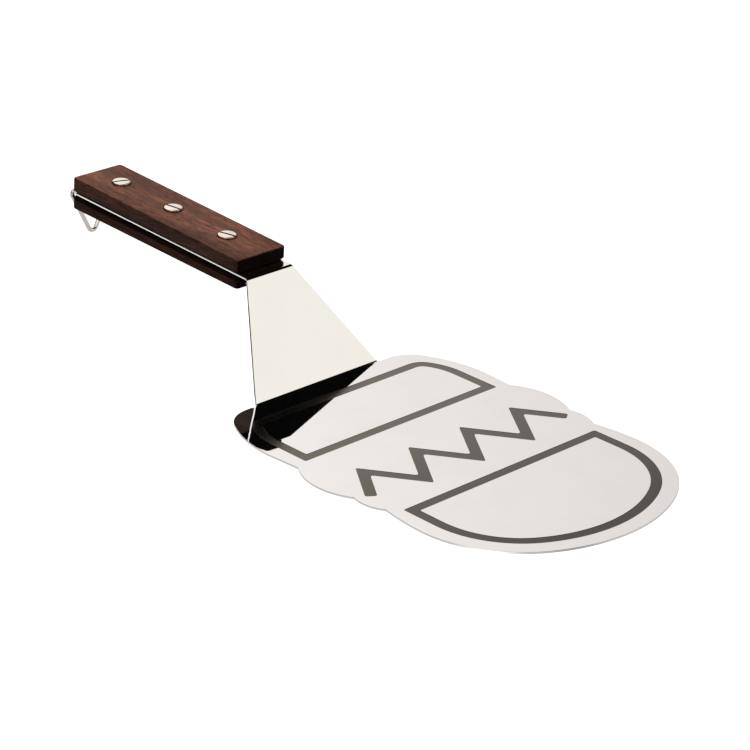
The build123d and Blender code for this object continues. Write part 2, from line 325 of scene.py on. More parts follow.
def rounded(points, index, reach, steps=4):
    """The points with the corner at that index turned into a small curve."""
    corner = points[index]
    before, after = index - 1, index + 1
    while (points[before] - corner).length <= reach:
        before -= 1
    while (points[after] - corner).length <= reach:
        after += 1
    start = corner + (points[before] - corner).normalized() * reach
    end = corner + (points[after] - corner).normalized() * reach
    curve = []
    for i in range(steps + 1):
        t = i / steps
        curve.append(start * (1 - t) ** 2 + corner * 2 * t * (1 - t) + end * t * t)
    return points[:before + 1] + curve + points[after:]


def rounded_loop(loop, corners, reach):
    """A closed loop with those of its corners turned into small curves."""
    for corner in corners:
        nearest = min(range(len(loop)), key=lambda i: (loop[i] - corner).length)
        half = len(loop) // 2
        loop = loop[nearest - half:] + loop[:nearest - half]
        loop = rounded(loop, half, reach)
    return loop


def offset_loop(loop, distance):
    """A closed loop moved inwards, where the loop runs anticlockwise."""
    moved = []
    for i, point in enumerate(loop):
        before = (point - loop[i - 1]).normalized()
        after = (loop[(i + 1) % len(loop)] - point).normalized()
        left = Vector((-before.y - after.y, before.x + after.x))
        moved.append(point + left * (distance / (1 + before.dot(after))))
    return moved


def whole_loop(half):
    """A closed anticlockwise loop from the +Y half, which runs from heel to tip."""
    mirrored = [Vector((p.x, -p.y)) for p in half]
    loop = mirrored + half[::-1]
    return [p for i, p in enumerate(loop) if (p - loop[i - 1]).length > mm]


heel_half = rear_corner(heel_x, bun_half_width, heel_corner_radius, heel_side_radius)
first_notch = Vector((first_notch_x, bun_half_width - notch_depth))
second_notch = Vector((second_notch_x, bun_half_width))
third_notch = Vector((third_notch_x, bun_half_width - notch_depth - notch_radius))
lettuce_peak = Vector(((first_notch_x + second_notch_x) / 2, lettuce_half_width))
patty_peak = Vector(((second_notch_x + third_notch_x) / 2, patty_half_width))
dome_half = dome(tip_x, bun_half_width, dome_radius)
base_chord = dome_half[0] - third_notch
base_radius = base_chord.length_squared / (2 * base_chord.y)
base_turn = 2 * atan2(base_chord.y, base_chord.x)
bun_base = arc((dome_half[0].x, bun_half_width - base_radius), base_radius,
               pi / 2 + base_turn, -base_turn, steps=8)
lettuce = bulge(first_notch, lettuce_peak, second_notch, steps=18)
patty = bulge(second_notch, patty_peak, third_notch, steps=10)
half_outline = heel_half + [first_notch] + lettuce + patty + bun_base + dome_half[1:]
for notch, reach in ((third_notch, third_notch_reach), (second_notch, second_notch_reach),
                     (first_notch, first_notch_reach)):
    nearest = min(range(len(half_outline)), key=lambda i: (half_outline[i] - notch).length)
    half_outline = rounded(half_outline, nearest, reach)
open_outline = whole_loop([Vector((heel_x, foot_half_width))] + half_outline)
guides = [Vector((heel_x - foot_guide, side * foot_half_width)) for side in (-1, 1)]
open_inset = offset_loop([guides[0]] + open_outline + [guides[1]], edge_round)[1:-1]

# The etched lines: the two buns' outlines and the zigzag between them. Each bun's line has
# its two corners at the flat side rounded.
etch_depth = 0.1
etch_line_width = 4.45
etch_corner_radius, etch_side_radius = 9.0, 29.0
heel_margin, side_margin, tip_margin = 10.3, 6.8, 6.6
etch_corner_reach, flat_side_pull = 0.9, 5.0
front_margin, base_margin = 1.9, 4.6
etch_front_x = first_notch_x - front_margin
etch_base_x = third_notch_x + base_margin
etch_half_width = bun_half_width - side_margin
lower_bun = rear_corner(heel_x + heel_margin, etch_half_width, etch_corner_radius,
                        etch_side_radius) + [Vector((etch_front_x, etch_half_width))]
upper_bun = [Vector((etch_base_x, etch_half_width))]
upper_bun += dome(tip_x - tip_margin, etch_half_width, dome_radius - tip_margin)
bun_loops = []
for half_line, flat_x in ((lower_bun, etch_front_x), (upper_bun, etch_base_x)):
    outer_line = whole_loop(half_line)
    pair = []
    for line in (outer_line, offset_loop(outer_line, etch_line_width)):
        ends = [min(line, key=lambda p: abs(p.x - flat_x) * flat_side_pull - side * p.y)
                for side in (1, -1)]
        pair.append(rounded_loop(line, ends, etch_corner_reach))
    bun_loops.append(pair)

zigzag_width = 4.8
crest_count, last_stroke = 7, 0.845
inner_reach, outer_reach, end_reach = 1.7, 1.4, 1.2
middle_share, height_share, pitch_share = 0.575, 0.377, 0.44
zigzag_middle = etch_front_x + (etch_base_x - etch_front_x) * middle_share
zigzag_height = (etch_base_x - etch_front_x) * height_share
zigzag_pitch = lettuce_half_width * pitch_share
stroke = Vector((zigzag_height, zigzag_pitch / 2))
lean = stroke.normalized()
beside = Vector((-lean.y, lean.x)) * (zigzag_width / 2)
across = Vector((beside.x, -beside.y))
tip_reach = Vector((zigzag_width / 2 / lean.y, 0.0))
crests = [Vector((zigzag_middle + zigzag_height / 2 * (-1) ** (i + 1),
                  (i - crest_count // 2) * zigzag_pitch / 2)) for i in range(crest_count)]
zigzag_end = crests[-1] + stroke * last_stroke
zigzag_start = Vector((zigzag_end.x, -zigzag_end.y))
zigzag_loop = [zigzag_start - across] + [crest + tip_reach for crest in crests]
zigzag_loop += [zigzag_end - beside, zigzag_end + beside]
zigzag_loop += [crest - tip_reach for crest in crests[::-1]] + [zigzag_start + across]
inner_corners = [crest + tip_reach * (-1) ** i for i, crest in enumerate(crests)]
outer_tips = [crest - tip_reach * (-1) ** i for i, crest in enumerate(crests)]
blunt_ends = [zigzag_start - across, zigzag_start + across,
              zigzag_end - beside, zigzag_end + beside]
for corners, reach in ((inner_corners, inner_reach), (outer_tips, outer_reach),
                       (blunt_ends, end_reach)):
    zigzag_loop = rounded_loop(zigzag_loop, corners, reach)

# The bends: each station is a point on the sheet's upper side and the way out of it there
neck_way = Vector((-cos(neck_angle), 0.0, sin(neck_angle)))
neck_foot = Vector((0.0, 0.0, sheet_thickness))
neck_top = neck_foot + neck_way * neck_length
handle_back = Vector((-cos(handle_slope), 0.0, sin(handle_slope)))
handle_up = Vector((sin(handle_slope), 0.0, cos(handle_slope)))


def half_width_at(point):
    """The band's half width, which narrows along the neck."""
    share = min(1.0, max(0.0, (point - neck_foot).dot(neck_way) / neck_length))
    return foot_half_width + (tang_half_width - foot_half_width) * share


def bend(start, centre, turn, steps):
    """Stations round a bend about an axis along Y."""
    found = []
    for i in range(steps + 1):
        swing = Matrix.Rotation(turn * i / steps, 3, "Y")
        point = centre + swing @ (start - centre)
        way_out = (point - centre).normalized() * (1 if turn < 0 else -1)
        found.append((point, way_out))
    return found


heel_start = Vector((heel_x, 0.0, sheet_thickness))
heel_centre = Vector((heel_x, 0.0, sheet_thickness + bend_inner_radius))
upper_turn = neck_angle - handle_slope
upper_set_back = outer_radius * tan(upper_turn / 2)
neck_normal = Vector((sin(neck_angle), 0.0, cos(neck_angle)))
upper_start = neck_top - neck_way * upper_set_back
upper_centre = upper_start - neck_normal * outer_radius
stations = bend(heel_start, heel_centre, neck_angle, steps=10)
stations += bend(upper_start, upper_centre, -upper_turn, steps=12)
tang_end = neck_top + handle_back * scale_rear

# The etched faces take the second of the sheet's two materials
sheet = bmesh.new()
etched_faces = 1


def add_points(target, points):
    """New vertices of a mesh, the points given in millimetres from the heel's bend."""
    shift = Vector((heel_bend_x, 0.0, 0.0))
    return [target.verts.new((Vector(p) + shift) * mm) for p in points]


def bridge(target, first, second, closed, material=0):
    """Faces between two rows of vertices."""
    for i in range(len(first) - (0 if closed else 1)):
        k = (i + 1) % len(first)
        face = target.faces.new((first[i], first[k], second[k], second[i]))
        face.material_index, face.smooth = material, True


def fill(target, loops, material=0):
    """Faces that fill the first loop of vertices round the others, which are its holes."""
    verts = [v for loop in loops for v in loop]
    for triple in tessellate_polygon([[v.co for v in loop] for loop in loops]):
        face = target.faces.new([verts[i] for i in triple])
        face.material_index, face.smooth = material, True


def skin(target, rings):
    """Faces along a row of rings of vertices, and a flat one at each cut end."""
    target.faces.new(rings[0])
    for first, second in zip(rings, rings[1:]):
        bridge(target, first, second, True)
    target.faces.new(rings[-1][::-1])


def sheet_row(points, height):
    """The sheet's vertices at points of the plane, all at one height."""
    return add_points(sheet, [(p.x, p.y, height) for p in points])


def band_ring(point, way_out, half_width):
    """The sheet's cut across the band, with its two long edges' rounds."""
    b = edge_round
    corners = [(-half_width + b, 0.0), (half_width - b, 0.0), (half_width, b),
               (half_width, sheet_thickness - b), (half_width - b, sheet_thickness),
               (-half_width + b, sheet_thickness), (-half_width, sheet_thickness - b),
               (-half_width, b)]
    return add_points(sheet, [point + Vector((0.0, y, 0.0)) - way_out * depth
                              for y, depth in corners])


top_rim = sheet_row(open_inset, sheet_thickness)
top_edge = sheet_row(open_outline, sheet_thickness - edge_round)
low_edge = sheet_row(open_outline, edge_round)
low_rim = sheet_row(open_inset, 0.0)
for upper_row, lower_row in ((top_rim, top_edge), (top_edge, low_edge), (low_edge, low_rim)):
    bridge(sheet, upper_row, lower_row, False)
fill(sheet, [low_rim])

etched_rims = []
for loops in bun_loops:
    rims = [sheet_row(loop, sheet_thickness) for loop in loops]
    floors = [sheet_row(loop, sheet_thickness - etch_depth) for loop in loops]
    for rim, low in zip(rims, floors):
        bridge(sheet, rim, low, True, etched_faces)
    fill(sheet, floors, etched_faces)
    fill(sheet, [rims[1]])
    etched_rims.append(rims[0])
zigzag_rim = sheet_row(zigzag_loop, sheet_thickness)
zigzag_low = sheet_row(zigzag_loop, sheet_thickness - etch_depth)
bridge(sheet, zigzag_rim, zigzag_low, True, etched_faces)
fill(sheet, [zigzag_low], etched_faces)
fill(sheet, [top_rim] + etched_rims + [zigzag_rim])

# The neck and the tang: the tang's edges run straight back, and its two flat sides are
# filled round the holes for the barrel nuts
last_ring = [top_rim[0], top_rim[-1], top_edge[-1], low_edge[-1],
             low_rim[-1], low_rim[0], low_edge[0], top_edge[0]]
for point, way_out in stations[1:]:
    ring = band_ring(point, way_out, half_width_at(point))
    bridge(sheet, last_ring, ring, True)
    last_ring = ring
end_ring = band_ring(tang_end, handle_up, tang_half_width)
bridge(sheet, last_ring[1:5], end_ring[1:5], False)
bridge(sheet, last_ring[5:] + last_ring[:1], end_ring[5:] + end_ring[:1], False)
hole_rims = {0.0: [], sheet_thickness: []}
for place_back in screw_places:
    for depth, rims in hole_rims.items():
        middle = neck_top + handle_back * place_back - handle_up * depth
        rims.append(add_points(sheet, [
            middle + handle_back * (barrel_hole_radius * cos(a))
            + Vector((0.0, barrel_hole_radius * sin(a), 0.0))
            for a in [2 * pi * i / hole_steps for i in range(hole_steps)]]))
    bridge(sheet, hole_rims[0.0][-1], hole_rims[sheet_thickness][-1], True)
fill(sheet, [[last_ring[0], last_ring[1], end_ring[1], end_ring[0]]] + hole_rims[0.0])
fill(sheet, [[last_ring[5], last_ring[4], end_ring[4], end_ring[5]]]
     + hole_rims[sheet_thickness])
sheet.faces.new(end_ring[::-1]).smooth = True

# The tongue at the tang's end: it dips in a small bend and is rolled round the ring's wire
eye_place, eye_height = 117.79, -0.75
eye_half_length = 6.0
eye_bore_radius, joggle_inner_radius = 1.1, 0.8
eye_middle_radius = eye_bore_radius + sheet_thickness / 2
joggle_radius = joggle_inner_radius + sheet_thickness / 2
tongue_length = 7.0
roll_end = radians(-157.0)
joggle_steps, roll_steps = 8, 40
joggle_rise = eye_middle_radius + joggle_radius
tongue_height = -eye_height - sheet_thickness / 2
joggle_x = -sqrt(joggle_rise ** 2 - (tongue_height + joggle_radius) ** 2)
joggle_centre = Vector((joggle_x, tongue_height + joggle_radius))
meeting_angle = atan2(joggle_centre.y, joggle_centre.x)
joggle_turn = meeting_angle - pi / 2
tongue_line = [(Vector((-tongue_length, tongue_height)), Vector((0.0, 1.0)))]
for i in range(joggle_steps + 1):
    a = -pi / 2 + joggle_turn * i / joggle_steps
    spoke = Vector((cos(a), sin(a)))
    tongue_line.append((joggle_centre + spoke * joggle_radius, -spoke))
for i in range(1, roll_steps + 1):
    a = meeting_angle + (roll_end - meeting_angle) * i / roll_steps
    spoke = Vector((cos(a), sin(a)))
    tongue_line.append((spoke * eye_middle_radius, spoke))
eye_centre = neck_top + handle_back * eye_place + handle_up * eye_height
tongue_rings = []
for spot, way_out in tongue_line:
    point = eye_centre + handle_back * spot.x + handle_up * spot.y
    out = handle_back * way_out.x + handle_up * way_out.y
    point += out * (sheet_thickness / 2)
    tongue_rings.append(band_ring(point, out, eye_half_length))
skin(sheet, tongue_rings)


def finished_piece(target, name, materials, sharp_angle):
    """An object from a mesh, sharp where it folds by more than that angle, and with its
    flat faces kept flat beside their rounded edges."""
    bmesh.ops.recalc_face_normals(target, faces=target.faces)
    for edge in target.edges:
        if len(edge.link_faces) == 2 and edge.calc_face_angle() > radians(sharp_angle):
            edge.smooth = False
    mesh = bpy.data.meshes.new(name)
    target.to_mesh(mesh)
    target.free()
    for material in materials:
        mesh.materials.append(material)
    piece = new_object(name, mesh)
    even = piece.modifiers.new("even_shading", "WEIGHTED_NORMAL")
    even.keep_sharp = True
    even.weight = 100
    return piece


def new_group(name, inputs, outputs):
    """A shader node group; each input has its first value, and each output is a number."""
    group = bpy.data.node_groups.new(name, "ShaderNodeTree")
    for label, value in inputs.items():
        kind = "NodeSocketFloat" if isinstance(value, float) else "NodeSocketVector"
        socket = group.interface.new_socket(label, in_out="INPUT", socket_type=kind)
        socket.default_value = value
    for label in outputs:
        group.interface.new_socket(label, in_out="OUTPUT", socket_type="NodeSocketFloat")
    return group, group.nodes.new("NodeGroupInput"), group.nodes.new("NodeGroupOutput")


# Handling marks on bright metal: hairline scratches in two directions, and smudges
marks, marks_in, marks_out = new_group(
    "handling_marks",
    {"Position": (0.0, 0.0, 0.0), "Scale": 1.0, "Clean Roughness": 0.04,
     "Worn Roughness": 0.16},
    ("Roughness", "Height", "Smudge"))
mark_depth = 0.00002
scratch_weight = 0.6
sized = add_node(marks, "VectorMath", operation="SCALE")
scratch_layers = []
for turned, stretch in ((0.5, (1400.0, 26.0, 400.0)), (-0.9, (34.0, 1700.0, 400.0))):
    mapped = add_node(marks, "Mapping", Rotation=(0.0, 0.0, turned), Scale=stretch)
    hairs = add_node(marks, "TexNoise", Scale=1.0, Detail=2.0, Roughness=0.5)
    thin = add_node(marks, "MapRange", From_Min=0.64, From_Max=0.76)
    join(marks,
         (sized, "Vector", mapped, "Vector"), (mapped, "Vector", hairs, "Vector"),
         (hairs, "Fac", thin, "Value"))
    scratch_layers.append(thin)
scratches = add_node(marks, "Math", operation="MAXIMUM")
smudge = add_node(marks, "TexNoise", Scale=38.0, Detail=4.0, Roughness=0.6)
smudge_range = add_node(marks, "MapRange", From_Min=0.42, From_Max=0.74)
wear = add_node(marks, "Math", operation="MULTIPLY_ADD")
wear.inputs[1].default_value = scratch_weight
roughness = add_node(marks, "MapRange")
join(marks,
     (marks_in, "Position", sized, 0), (marks_in, "Scale", sized, "Scale"),
     (scratch_layers[0], "Result", scratches, 0),
     (scratch_layers[1], "Result", scratches, 1), (sized, "Vector", smudge, "Vector"),
     (smudge, "Fac", smudge_range, "Value"), (scratches, "Value", wear, 0),
     (smudge_range, "Result", wear, 2), (wear, "Value", roughness, "Value"),
     (marks_in, "Clean Roughness", roughness, "To Min"),
     (marks_in, "Worn Roughness", roughness, "To Max"),
     (roughness, "Result", marks_out, "Roughness"),
     (scratches, "Value", marks_out, "Height"),
     (smudge_range, "Result", marks_out, "Smudge"))


def handled_metal(name, size, clean, worn, bump, bright, dull):
    """A metal with handling marks on its colour, roughness and normal."""
    metal, tree, shader = new_material(name, Metallic=1.0)
    where = add_node(tree, "TexCoord")
    layer = add_node(tree, "Group", node_tree=marks, Scale=size,
                     Clean_Roughness=clean, Worn_Roughness=worn)
    relief = add_node(tree, "Bump", Strength=bump, Distance=mark_depth, invert=True)
    tint = add_node(tree, "Mix", data_type="RGBA", A=bright, B=dull)
    join(tree,
         (where, "Object", layer, "Position"), (layer, "Roughness", shader, "Roughness"),
         (layer, "Height", relief, "Height"), (relief, "Normal", shader, "Normal"),
         (layer, "Smudge", tint, "Factor"), (tint, "Result", shader, "Base Color"))
    return metal


polished = handled_metal(
    "polished_stainless", size=1.0, clean=0.012, worn=0.035, bump=0.008,
    bright=(0.925, 0.92, 0.91, 1.0), dull=(0.895, 0.885, 0.87, 1.0))

# The etched lines' satin bottom: frosted, clouded, and darker towards the tip, a painted
# shade for the dimmer surroundings it mirrors there
etch_dark, etch_light = (0.118, 0.105, 0.087, 1.0), (0.196, 0.176, 0.147, 1.0)
tip_shade_tint = (0.50, 0.50, 0.50, 1.0)
tip_shade_start, tip_shade_end = 0.045, 0.150
etched, etched_tree, etched_shader = new_material("etched_lines", Metallic=1.0)
where = add_node(etched_tree, "TexCoord")
frost = add_node(etched_tree, "TexNoise", Scale=2600.0, Detail=2.0, Roughness=0.6)
cloud = add_node(etched_tree, "TexNoise", Scale=46.0, Detail=3.0, Roughness=0.55)
tone = add_node(etched_tree, "Math", operation="MULTIPLY")
satin = add_node(etched_tree, "Mix", data_type="RGBA", A=etch_dark, B=etch_light)
rough = add_node(etched_tree, "MapRange", To_Min=0.10, To_Max=0.19)
relief = add_node(etched_tree, "Bump", Strength=0.2, Distance=mark_depth)
# A painted shade: the satin colour is multiplied darker by a grey towards the blade's tip
tip_shade = add_node(etched_tree, "Mix", data_type="RGBA", blend_type="MULTIPLY", B=tip_shade_tint)
along = add_node(etched_tree, "SeparateXYZ")
towards_tip = add_node(etched_tree, "MapRange", From_Min=tip_shade_start, From_Max=tip_shade_end)
join(etched_tree,
     (where, "Object", frost, "Vector"), (where, "Object", cloud, "Vector"),
     (frost, "Fac", tone, 0), (cloud, "Fac", tone, 1), (tone, "Value", satin, "Factor"),
     (satin, "Result", tip_shade, "A"), (where, "Object", along, "Vector"),
     (along, "X", towards_tip, "Value"), (towards_tip, "Result", tip_shade, "Factor"),
     (tip_shade, "Result", etched_shader, "Base Color"), (frost, "Fac", rough, "Value"),
     (rough, "Result", etched_shader, "Roughness"), (frost, "Fac", relief, "Height"),
     (relief, "Normal", etched_shader, "Normal"))

sheet_piece = finished_piece(sheet, "sheet", [polished, etched], sharp_angle=50.0)
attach(sheet_piece, "turner")
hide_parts("turner_sheet")

# ----------------------------------------
# The two scales: slabs of dark oiled hardwood, milled a little thicker at the rear, with
# bevelled inner edges, softly rounded outer edges, and a seat and hole for each fastener.
scale_half_width = 13.4
scale_corner_radius = 1.8
scale_round, round_steps = 0.8, 5
inner_bevel = 1.3
seat_radius, seat_depth = 4.15, 0.25
scale_thicknesses = {"upper_scale": (6.5, 7.2), "lower_scale": (5.7, 6.5)}
handle_axes = (handle_back, Vector((0.0, -1.0, 0.0)), handle_up)
handle = Matrix([[axis[i] for axis in handle_axes] for i in range(3)]).to_4x4()
handle.translation = neck_top
under_handle = (handle @ Matrix.Translation((0.0, 0.0, -sheet_thickness))
                @ Matrix.Rotation(pi, 4, "X"))


def circle(x, radius, steps=40):
    """A closed anticlockwise loop of points round a place on the handle's middle line."""
    return arc((x, 0.0), radius, 0.0, 2 * pi, steps)


def scale_height(name, x):
    """How thick a scale is at that distance behind the neck."""
    front, rear = scale_thicknesses[name]
    return front + (rear - front) * (x - scale_front) / (scale_rear - scale_front)


def scale_plan():
    """A scale's plan as a closed anticlockwise loop, its corners rounded."""
    r = scale_corner_radius
    loop = []
    for x, y, start in ((scale_rear - r, scale_half_width - r, 0.0),
                        (scale_front + r, scale_half_width - r, pi / 2),
                        (scale_front + r, -scale_half_width + r, pi),
                        (scale_rear - r, -scale_half_width + r, pi * 1.5)):
        loop.append(Vector((x + r * cos(start), y + r * sin(start))))
        loop += arc((x, y), r, start, pi / 2, steps=6)
    return loop


def build_scale(name, placing, wood):
    """One scale, lying with its inner face on the handle's plane."""
    target = bmesh.new()

    def row(points, height):
        return add_points(target, [placing @ Vector((p.x, p.y, height(p))) for p in points])

    plan = scale_plan()
    inner_loop = offset_loop(plan, inner_bevel)
    rows = [row(inner_loop, lambda p: 0.0), row(plan, lambda p: inner_bevel)]
    for i in range(round_steps + 1):
        a = pi / 2 * i / round_steps
        loop = offset_loop(plan, scale_round * (1 - cos(a)))
        sink = scale_round * (1 - sin(a))
        rows.append(row(loop, lambda p, sink=sink: scale_height(name, p.x) - sink))
    for first, second in zip(rows, rows[1:]):
        bridge(target, first, second, True)
    outer_holes, inner_holes = [], []
    for x in screw_places:
        seat = scale_height(name, x) - seat_depth
        mouth = row(circle(x, seat_radius), lambda p: scale_height(name, p.x))
        seat_rim = row(circle(x, seat_radius), lambda p: seat)
        bore = row(circle(x, barrel_hole_radius), lambda p: seat)
        bore_end = row(circle(x, barrel_hole_radius), lambda p: 0.0)
        for first, second in ((mouth, seat_rim), (seat_rim, bore), (bore, bore_end)):
            bridge(target, first, second, True)
        outer_holes.append(mouth)
        inner_holes.append(bore_end)
    fill(target, [rows[-1]] + outer_holes)
    fill(target, [rows[0]] + inner_holes)
    return finished_piece(target, name + "_wood", [wood], sharp_angle=40.0)


# Grain that runs along the handle: broad bands, fine fibres and short dark pores
grain_lean, grain_waver = 0.09, 0.25
grain, grain_in, grain_out = new_group(
    "hardwood_grain",
    {"Position": (0.0, 0.0, 0.0), "Slope": 0.0, "Plank": 0.0}, ("Band", "Fibre", "Pore"))
turned = add_node(grain, "VectorRotate", rotation_type="Y_AXIS")
plank = add_node(grain, "CombineXYZ")
moved = add_node(grain, "VectorMath", operation="ADD")
join(grain,
     (grain_in, "Position", turned, "Vector"), (grain_in, "Slope", turned, "Angle"),
     (grain_in, "Plank", plank, "X"), (grain_in, "Plank", plank, "Y"),
     (turned, "Vector", moved, 0), (plank, "Vector", moved, 1))
for label, stretch, detail, low, high in (
        ("Band", (11.0, 150.0, 90.0), 4.0, 0.30, 0.72),
        ("Fibre", (125.0, 1300.0, 1300.0), 3.0, 0.32, 0.70),
        ("Pore", (220.0, 1700.0, 1700.0), 1.0, 0.56, 0.70)):
    stretched = add_node(grain, "Mapping", Rotation=(0.0, 0.0, grain_lean), Scale=stretch)
    noise = add_node(grain, "TexNoise", Scale=1.0, Detail=detail, Distortion=grain_waver)
    spread = add_node(grain, "MapRange", interpolation_type="SMOOTHSTEP",
                      From_Min=low, From_Max=high)
    join(grain,
         (moved, "Vector", stretched, "Vector"), (stretched, "Vector", noise, "Vector"),
         (noise, "Fac", spread, "Value"), (spread, "Result", grain_out, label))

# Where a scale is darkened: its end grain, partly soaked oil and partly painted shade; its
# seam with the tang, painted shade; a painted shadow round the screws; along the arrises,
# and towards the neck and the long sides
oil_and_shade, oil_and_shade_in, oil_and_shade_out = new_group(
    "soaked_and_shaded_places",
    {"Position": (0.0, 0.0, 0.0), "Normal": (0.0, 0.0, 0.0), "Out": (0.0, 0.0, 1.0),
     "Inner Face": 0.0},
    ("Soaked And Shaded",))


def oil_and_shade_share(socket, clean, darkest):
    """A soft share that is 0 at the clean value and 1 at the darkest one."""
    falls = darkest < clean
    share = add_node(oil_and_shade, "MapRange", interpolation_type="SMOOTHSTEP",
                     From_Min=min(clean, darkest), From_Max=max(clean, darkest),
                     To_Min=float(falls), To_Max=float(not falls))
    oil_and_shade.links.new(socket, share.inputs["Value"])
    return share.outputs["Result"]


def oil_and_shade_maths(operation, *values):
    """One sum in the group of soaked and painted-shade places; each value is a socket or a
    number.
    """
    sum_node = add_node(oil_and_shade, "Math", operation=operation)
    for i, value in enumerate(values):
        if isinstance(value, float):
            sum_node.inputs[i].default_value = value
        else:
            oil_and_shade.links.new(value, sum_node.inputs[i])
    return sum_node.outputs["Value"]


def oil_and_shade_reach(socket, direction):
    """How far a vector reaches along a direction, which is a vector or a socket."""
    reach = add_node(oil_and_shade, "VectorMath", operation="DOT_PRODUCT")
    oil_and_shade.links.new(socket, reach.inputs[0])
    if isinstance(direction, Vector):
        reach.inputs[1].default_value = direction
    else:
        oil_and_shade.links.new(direction, reach.inputs[1])
    return reach.outputs["Value"]


arris_weight, neck_weight, side_weight = 0.6, 0.2, 0.3
spot, spot_normal = oil_and_shade_in.outputs["Position"], oil_and_shade_in.outputs["Normal"]
handle_start = (neck_top + Vector((heel_bend_x, 0.0, 0.0))) * mm
end_facing = oil_and_shade_maths("ABSOLUTE", oil_and_shade_reach(spot_normal, handle_back))
facing_out = oil_and_shade_reach(spot_normal, oil_and_shade_in.outputs["Out"])
arris = oil_and_shade_maths("MULTIPLY", oil_and_shade_share(facing_out, 0.02, 0.2), arris_weight)
depth = oil_and_shade_maths("SUBTRACT", oil_and_shade_reach(spot, oil_and_shade_in.outputs["Out"]),
                   oil_and_shade_in.outputs["Inner Face"])
back = oil_and_shade_maths("SUBTRACT", oil_and_shade_reach(spot, handle_back), handle_start.dot(handle_back))
screw_pitch = (screw_places[1] - screw_places[0]) * mm
first_screw = screw_places[0] * mm
from_screw = oil_and_shade_maths("SUBTRACT", oil_and_shade_maths(
    "WRAP", back, first_screw + screw_pitch / 2, first_screw - screw_pitch / 2), first_screw)
parts_of_spot = add_node(oil_and_shade, "SeparateXYZ")
radial = add_node(oil_and_shade, "CombineXYZ")
screw_distance = add_node(oil_and_shade, "VectorMath", operation="LENGTH")
oil_and_shade.links.new(from_screw, radial.inputs["X"])
join(oil_and_shade,
     (oil_and_shade_in, "Position", parts_of_spot, "Vector"), (parts_of_spot, "Y", radial, "Y"),
     (radial, "Vector", screw_distance, 0))
sideways = oil_and_shade_maths("ABSOLUTE", parts_of_spot.outputs["Y"])
shares = [
    # The end grain: partly soaked oil, partly painted shade
    oil_and_shade_share(end_facing, 0.35, 0.85),
    # Painted shade in the seam with the tang, the groove between scale and tang
    oil_and_shade_share(depth, 3.2 * mm, 1.5 * mm),
    # A painted shadow round each screw head
    oil_and_shade_share(screw_distance.outputs["Value"], 4.8 * mm, 4.0 * mm),
    # Darker towards the neck and towards the long sides
    oil_and_shade_maths("ADD",
               oil_and_shade_maths("MULTIPLY", oil_and_shade_share(back, 30.0 * mm, 5.0 * mm), neck_weight),
               oil_and_shade_maths("MULTIPLY", oil_and_shade_share(sideways, 6.0 * mm, 12.5 * mm), side_weight)),
    # Darker along the rounded arrises
    oil_and_shade_maths("MULTIPLY", oil_and_shade_share(facing_out, 0.97, 0.8), arris),
]
most = shares[0]
for share in shares[1:]:
    most = oil_and_shade_maths("MAXIMUM", most, share)
oil_and_shade.links.new(most, oil_and_shade_out.inputs["Soaked And Shaded"])

